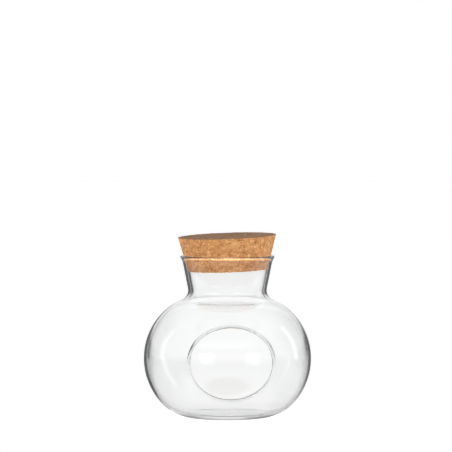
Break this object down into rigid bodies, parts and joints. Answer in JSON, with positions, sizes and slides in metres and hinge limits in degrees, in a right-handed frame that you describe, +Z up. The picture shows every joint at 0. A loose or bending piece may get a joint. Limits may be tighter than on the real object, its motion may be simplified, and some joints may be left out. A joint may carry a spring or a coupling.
{
  "type": "round glass jar",
  "caption": "Squashed round blown-glass jar with a flared neck, a large round window opening in the front of its belly and a tapered pressed-cork stopper.",
  "frame": {"origin": "on the jar's axis, at the middle of the flat base that it stands on", "axes": "+Z up along the jar's axis, -Y out of the window in the front of the belly, +X to the right as seen from the front"},
  "size_m": [0.18, 0.1678, 0.1967],
  "materials": {
    "clear_glass": "clear blown glass, flame polished",
    "pressed_cork": "ground agglomerated cork, unsealed"
  },
  "bodies": {
    "jar": {"glass_jar": "clear_glass"},
    "stopper": {"cork_stopper": "pressed_cork"}
  },
  "joints": [
    {"name": "stopper_lift", "type": "slide", "parent": "jar", "child": "stopper", "axis": [0, 0, 1], "range_m": [0, 0.06]}
  ]
}
